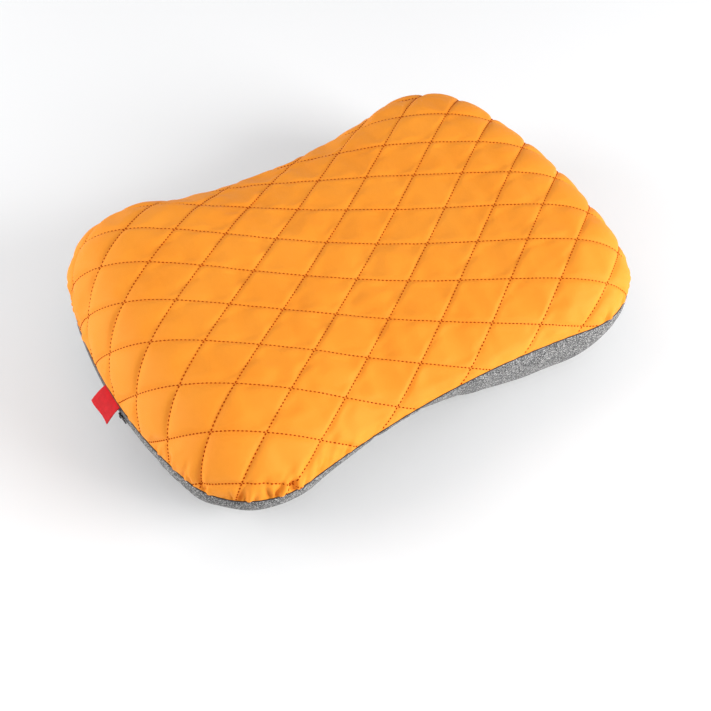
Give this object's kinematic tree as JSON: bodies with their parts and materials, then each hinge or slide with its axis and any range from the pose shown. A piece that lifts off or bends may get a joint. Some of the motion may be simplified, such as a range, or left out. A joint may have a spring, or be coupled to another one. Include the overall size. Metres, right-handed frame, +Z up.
{
  "type": "camp pillow",
  "caption": "Inflatable camp pillow: quilted top, knit underside, air bladder with a two-stage flip valve, and a zipped cover.",
  "frame": {"origin": "centre of the flat patch that the pillow rests on", "axes": "+X along the length, towards the end with the valve; +Y towards the back long side; +Z up"},
  "size_m": [0.4751, 0.3189, 0.12],
  "materials": {
    "quilt_fabric": "matte",
    "wadding": "matte",
    "lining": "matte",
    "knit": "matte",
    "binding": "matte",
    "label": "matte",
    "zip_tape": "matte",
    "zip_teeth": "satin",
    "slider_metal": "satin",
    "bladder_film": "satin",
    "valve_plastic": "satin",
    "cap_plastic": "satin",
    "valve_rubber": "matte"
  },
  "bodies": {
    "cover": {"quilt_face": "quilt_fabric", "quilt_wadding": "wadding", "quilt_backing": "lining", "under_panel": "knit", "seam_binding": "binding", "side_label": "label", "zip_tape_upper": "zip_tape", "zip_tape_lower": "zip_tape", "zip_teeth_upper": "zip_teeth", "zip_teeth_lower": "zip_teeth", "zip_stop_front": "slider_metal", "zip_stop_back": "slider_metal", "bladder_upper_sheet": "bladder_film", "bladder_lower_sheet": "bladder_film", "tie_strip_left": "bladder_film", "tie_strip_right": "bladder_film", "valve_base": "valve_plastic", "valve_washer": "valve_rubber"},
    "zip_slider": {"slider_body": "slider_metal"},
    "tab": {"pull_tab": "slider_metal"},
    "lid": {"valve_lid": "valve_plastic"},
    "cap": {"inflate_cap": "cap_plastic"},
    "flap": {"check_flap": "valve_rubber"}
  },
  "joints": [
    {"name": "zip_travel", "type": "hinge", "parent": "cover", "child": "zip_slider", "pos_m": [0.206, 0, 0.0515], "axis": [0, 0, -1], "range_deg": [0, 12.3]},
    {"name": "tab_swing", "type": "hinge", "parent": "zip_slider", "child": "tab", "pos_m": [-0.23063, -0.01804, 0.0515], "axis": [0, 0, -1], "range_deg": [0, 90]},
    {"name": "lid_hinge", "type": "hinge", "parent": "cover", "child": "lid", "pos_m": [0.23111, 0, 0.04546], "axis": [0, -1, 0], "range_deg": [0, 100]},
    {"name": "cap_hinge", "type": "hinge", "parent": "lid", "child": "cap", "pos_m": [0.23202, 0, 0.04262], "axis": [0, -1, 0], "range_deg": [0, 90]},
    {"name": "flap_bend", "type": "hinge", "parent": "lid", "child": "flap", "pos_m": [0.2231, 0, 0.04161], "axis": [0, 1, 0], "range_deg": [0, 30], "stiffness_Nm_per_rad": 0.0001, "springref_deg": -11.46}
  ]
}
